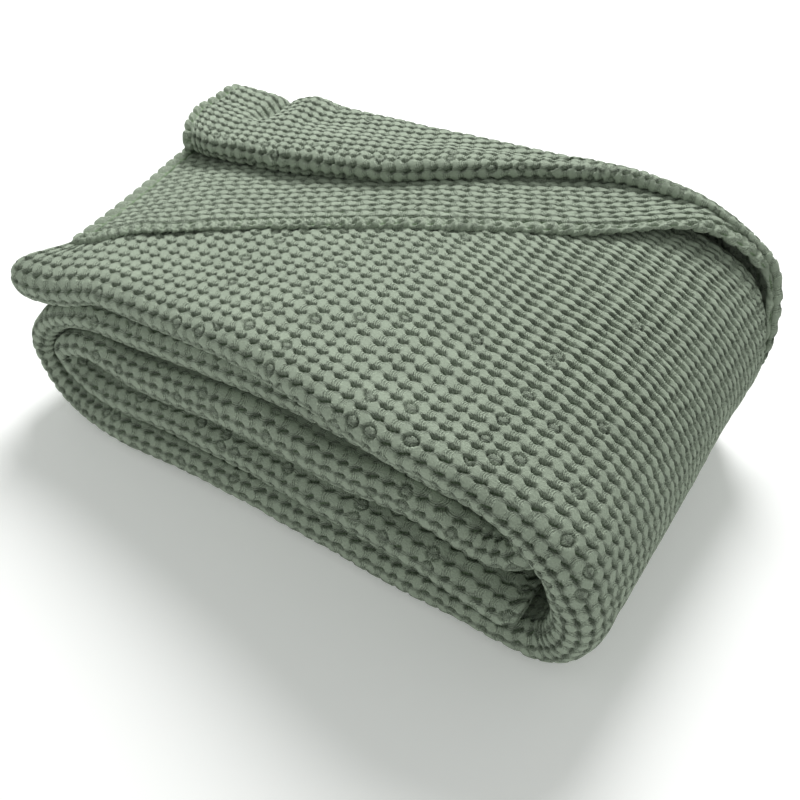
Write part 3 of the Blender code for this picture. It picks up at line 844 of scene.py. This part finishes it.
def cotton():
    """Soft matt sage cotton: raised yarns on the pads, painted shade in the pockets, a painted
    shadow crescent in each pocket and painted shade along the grooves between ropes, a little fuzz.
    """
    material = bpy.data.materials.new("sage cotton")
    material.use_nodes = True
    tree = material.node_tree
    shader = tree.nodes["Principled BSDF"]
    set_inputs(shader, Roughness=0.92, Specular_IOR_Level=0.2, Sheen_Weight=0.12,
               Sheen_Roughness=0.6, Sheen_Tint=(0.7, 0.85, 0.65, 1.0))
    link = tree.links.new
    threads = node(tree, "ShaderNodeUVMap")
    threads.uv_map = "threads"
    apart = node(tree, "ShaderNodeSeparateXYZ")
    link(threads.outputs["UV"], apart.inputs[0])
    raised, loose_and_shade = node(tree, "ShaderNodeAttribute"), node(tree, "ShaderNodeAttribute")
    raised.attribute_name, loose_and_shade.attribute_name = "woven_height", "slack_and_shade"

    def math_node(kind, *values):
        made = node(tree, "ShaderNodeMath")
        made.operation = kind
        for i, value in enumerate(values):
            if isinstance(value, (int, float)):
                made.inputs[i].default_value = value
            else:
                link(value, made.inputs[i])
        return made.outputs[0]

    def plus(a, b):
        return math_node("ADD", a, b)

    def minus(a, b):
        return math_node("SUBTRACT", a, b)

    def times(a, b):
        return math_node("MULTIPLY", a, b)

    def size_of(a):
        return math_node("ABSOLUTE", a)

    def from_whole(source):
        """How far the thread count is from a whole number, 0 to 0.5."""
        return size_of(minus(math_node("FRACT", plus(source, 0.5)), 0.5))

    def ribs(source, bend):
        """Yarns side by side, bowed by bend."""
        bowed = plus(source, times(times(bend, bend), BOW))
        return times(math_node("SINE", times(bowed, 2 * math.pi * YARNS)), 0.5)

    def mapped(value, from_low, from_high, to_low=0.0, to_high=1.0, smooth=True):
        made = node(tree, "ShaderNodeMapRange", From_Min=from_low,
                    From_Max=from_high, To_Min=to_low, To_Max=to_high)
        if smooth:
            made.interpolation_type = "SMOOTHSTEP"
        link(value, made.inputs["Value"])
        return made.outputs["Result"]

    along_u, along_v = apart.outputs["X"], apart.outputs["Y"]
    off_u, off_v = from_whole(along_u), from_whole(along_v)
    # the yarns of a link cross it, and show only between the pads
    on_link = times(mapped(off_u, *LINK_BESIDE_PAD), mapped(off_v, *LINK_EDGE))
    over_link = times(mapped(off_v, *SIDE_LINK_BESIDE_PAD), mapped(off_u, *SIDE_LINK_EDGE))
    cloth_yarns = plus(times(ribs(along_u, off_v), on_link), times(ribs(along_v, off_u), over_link))
    in_space = node(tree, "ShaderNodeTexCoord").outputs["Object"]
    fuzz, patches = (node(tree, "ShaderNodeTexNoise", **kind) for kind in (FUZZ, PATCHES))
    link(in_space, fuzz.inputs["Vector"])
    link(in_space, patches.inputs["Vector"])

    yarn_bump = node(tree, "ShaderNodeBump", Strength=1.0, Distance=YARN_DEPTH)
    link(cloth_yarns, yarn_bump.inputs["Height"])
    fuzz_bump = node(tree, "ShaderNodeBump", Strength=0.8, Distance=FUZZ_DEPTH)
    link(fuzz.outputs["Fac"], fuzz_bump.inputs["Height"])
    link(yarn_bump.outputs[0], fuzz_bump.inputs["Normal"])
    link(fuzz_bump.outputs[0], shader.inputs["Normal"])

    # painted shade: the colour darkens and turns greener from the pads down into the pockets,
    # standing in for their shade
    shade = node(tree, "ShaderNodeValToRGB")
    shade.color_ramp.elements[0].color = POCKET_SHADE_COLOUR
    shade.color_ramp.elements[0].position = 0.0
    shade.color_ramp.elements[1].color = PAD_COLOUR
    shade.color_ramp.elements[1].position = PAD_FROM
    link(raised.outputs["Fac"], shade.inputs["Fac"])
    vary = mapped(patches.outputs["Fac"], 0.3, 0.7, *PATCH_TONE, smooth=False)
    grain = plus(times(mapped(off_u, *GRAIN_FROM), GRAIN_OFF_PAD), GRAIN_ON_PAD)
    grain = times(minus(fuzz.outputs["Fac"], 0.5), grain)
    speckle = mapped(plus(grain, 0.5), 0.0, 1.0, *GRAIN_TONE, smooth=False)
    # painted shadow: a dark crescent at the near side of each pocket, where the link casts its
    # shadow, with strands in it and stronger where the yarns hang loose
    in_u = minus(0.5, math_node("FRACT", along_u))
    in_v = minus(math_node("FRACT", along_v), 0.5)
    level = plus(times(in_u, SHADOW_CRESCENT_LEVEL[0]), times(in_v, SHADOW_CRESCENT_LEVEL[1]))
    below = minus(times(in_u, SHADOW_CRESCENT_ACROSS[0]), times(in_v, SHADOW_CRESCENT_ACROSS[1]))
    sag = times(times(level, level), -SHADOW_CRESCENT_SAG)
    slope = plus(times(level, SHADOW_CRESCENT_SLOPE), SHADOW_CRESCENT_LOW)
    above = minus(plus(sag, slope), below)
    fades = times(mapped(above, *SHADOW_CRESCENT_RIM), mapped(above, *SHADOW_CRESCENT_FADE))
    ends = mapped(size_of(minus(level, SHADOW_CRESCENT_MIDDLE)), *SHADOW_CRESCENT_ENDS)
    strands = plus(times(math_node("SINE", times(above, SHADOW_CRESCENT_STRANDS)), 0.25), 0.75)
    slack_and_shade = times(times(times(fades, ends), strands), loose_and_shade.outputs["Fac"])
    shadow_crescent_tone = minus(1.0, times(slack_and_shade, SHADOW_CRESCENT_DARK))
    # painted shade: where the yarns are pulled tight, a dark line winds along the groove between
    # the ropes, standing in for its shade
    winding = times(math_node("SINE", times(in_u, 2 * math.pi)), GROOVE_WINDS)
    tight = minus(1.0, loose_and_shade.outputs["Fac"])
    groove = times(mapped(size_of(plus(in_v, winding)), *GROOVE_HALF), tight)
    groove_shade_tone = minus(1.0, times(groove, GROOVE_SHADE_DARK))
    yarn_share = plus(times(loose_and_shade.outputs["Fac"], YARN_TONE_LOOSE), YARN_TONE)
    yarn_tone = plus(times(cloth_yarns, yarn_share), YARN_LIGHT)
    tone = times(times(vary, speckle), yarn_tone)
    tone = times(tone, times(shadow_crescent_tone, groove_shade_tone))
    tinted = node(tree, "ShaderNodeVectorMath")
    tinted.operation = "SCALE"
    link(shade.outputs["Color"], tinted.inputs[0])
    link(tone, tinted.inputs["Scale"])
    link(tinted.outputs[0], shader.inputs["Base Color"])
    return material


YARNS = 8  # yarns to a cell
BOW = 0.9  # how far the yarns of a link curve
LINK_BESIDE_PAD = (0.24, 0.32)  # where the links along the rows leave the pads
LINK_EDGE = (0.42, 0.36)  # and where their yarns end
SIDE_LINK_BESIDE_PAD = (0.34, 0.40)  # the same for the links across the rows
SIDE_LINK_EDGE = (0.34, 0.28)
YARN_DEPTH = 0.0005  # metres
YARN_TONE = 0.15  # how far the yarns show where they are tight
YARN_TONE_LOOSE = 0.45  # and how much more where they are loose
YARN_LIGHT = 1.03
FUZZ = {"Scale": 1050.0, "Detail": 3.0, "Roughness": 0.7}
FUZZ_DEPTH = 0.0012  # metres
PATCHES = {"Scale": 45.0, "Detail": 2.0}  # slow changes of shade over the cloth
PATCH_TONE = (0.94, 1.06)
GRAIN_FROM = (0.16, 0.26)  # where the pads' grain turns into that beside them
GRAIN_ON_PAD, GRAIN_OFF_PAD = 0.7, 1.7
GRAIN_TONE = (0.5, 1.5)
# the painted shadow crescent in each pocket, standing in for the shadow the link casts:
SHADOW_CRESCENT_LEVEL = (0.69, 0.31)  # the direction along the crescent, in u and v
SHADOW_CRESCENT_ACROSS = (0.54, 0.46)  # and the direction across it
SHADOW_CRESCENT_LOW = 0.097  # where the crescent lies in a cell, and its shape
SHADOW_CRESCENT_SLOPE = 0.44
SHADOW_CRESCENT_SAG = 1.3
SHADOW_CRESCENT_RIM = (-0.07, -0.03)  # it starts sharply at its rim
SHADOW_CRESCENT_FADE = (0.2, 0.02)  # and fades away from it
SHADOW_CRESCENT_MIDDLE = 0.04
SHADOW_CRESCENT_ENDS = (0.34, 0.20)
SHADOW_CRESCENT_STRANDS = 70.0
# how much the painted shadow crescent darkens the colour
SHADOW_CRESCENT_DARK = 0.75
GROOVE_HALF = (0.2, 0.07)  # half width of the painted groove shade, at its rim and floor
GROOVE_WINDS = 0.12
# how much the painted groove shade darkens the colour
GROOVE_SHADE_DARK = 0.7
PAD_FROM = 0.35  # height of the cloth from which it has the pads' colour; below it the colour darkens into painted pocket shade
PAD_COLOUR = (0.364, 0.421, 0.334, 1.0)
# the pockets' colour is painted shade, darker and greener than the pads
POCKET_SHADE_COLOUR = (0.216, 0.303, 0.179, 1.0)
COTTON = cotton()

# -------- the pieces

OUTER_ROUNDING = (18, 1.4)  # stations round the strip's end, and its depth
INNER_ROUNDING = (10, 0.9)

skins = [
    skin("top_layer", with_cap(along(TOP, OUTER_END, ALONG), *OUTER_ROUNDING, 1), "fine", 0.04),
    skin("right_end", along(RIGHT_TURN, TOP, ALONG), "fine", 0.05),
    skin("bottom_layer", along(BOTTOM, RIGHT_TURN, IN_SHADE), "coarse"),
    skin("left_turn", along(LEFT_TURN, BOTTOM, IN_SHADE), "medium"),
    skin("second_layer", along(INNER_TURN, LEFT_TURN, IN_SHADE), "coarse"),
    skin("inner_layers",
         with_cap(along(INNER_END, INNER_TURN, IN_SHADE), *INNER_ROUNDING, -1), "coarse"),
]
pieces = skins + [flap(), pleat()]
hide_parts("blanket")

# -------- camera, floor and light

EYE = (17.622, -29.834, 41.835)  # in cells, in the table's frame
LOOKS_DOWN, LOOKS_ROUND = 46.0, 34.0  # degrees
LENS, SENSOR = 38.25, 36.0  # millimetres
FLOOR = 6.0  # metres from the middle to each side
FLOOR_GLOW = 0.18  # keeps the floor pale in the shade
SKY_COLOUR, SKY_STRENGTH = (0.955, 1.0, 0.95, 1.0), 0.465
KEY_AT, KEY_TOWARD = (-0.47, 1.1, 1.55), (0.0, 0.0, 0.1)  # metres
KEY_SIZE, KEY_POWER = 0.9, 36.0  # metres across, and watts

camera_data = bpy.data.cameras.new("camera")
camera_data.lens = LENS
camera_data.sensor_width = SENSOR
camera = added("camera", camera_data)
camera.location = tuple((EYE[i] - (*MIDDLE, 0.0)[i]) * CELL for i in range(3))
camera.rotation_euler = (math.radians(LOOKS_DOWN), 0.0, math.radians(LOOKS_ROUND))
bpy.context.scene.camera = camera

floor_mesh = bpy.data.meshes.new("floor")
corners = [(x * FLOOR, y * FLOOR, 0) for x, y in ((-1, -1), (1, -1), (1, 1), (-1, 1))]
floor_mesh.from_pydata(corners, [], [(0, 1, 2, 3)])
floor = added("floor", floor_mesh)
paper = bpy.data.materials.new("paper")
paper.use_nodes = True
set_inputs(paper.node_tree.nodes["Principled BSDF"], Base_Color=(0.9, 0.9, 0.9, 1.0),
           Roughness=0.9, Emission_Color=(1.0, 1.0, 1.0, 1.0), Emission_Strength=FLOOR_GLOW)
floor.data.materials.append(paper)

world = bpy.data.worlds.new("studio")
bpy.context.scene.world = world
world.use_nodes = True
set_inputs(world.node_tree.nodes["Background"], Color=SKY_COLOUR, Strength=SKY_STRENGTH)

key_data = bpy.data.lights.new("key", "AREA")
key_data.shape = "DISK"
key_data.size, key_data.energy = KEY_SIZE, KEY_POWER
key = added("key", key_data)
key.location = KEY_AT
aim = np.array(KEY_TOWARD) - np.array(KEY_AT)
tilt = math.atan2(math.hypot(aim[0], aim[1]), -aim[2])
key.rotation_euler = (tilt, 0.0, math.atan2(-aim[0], aim[1]))
bpy.context.scene.view_settings.view_transform = "Standard"
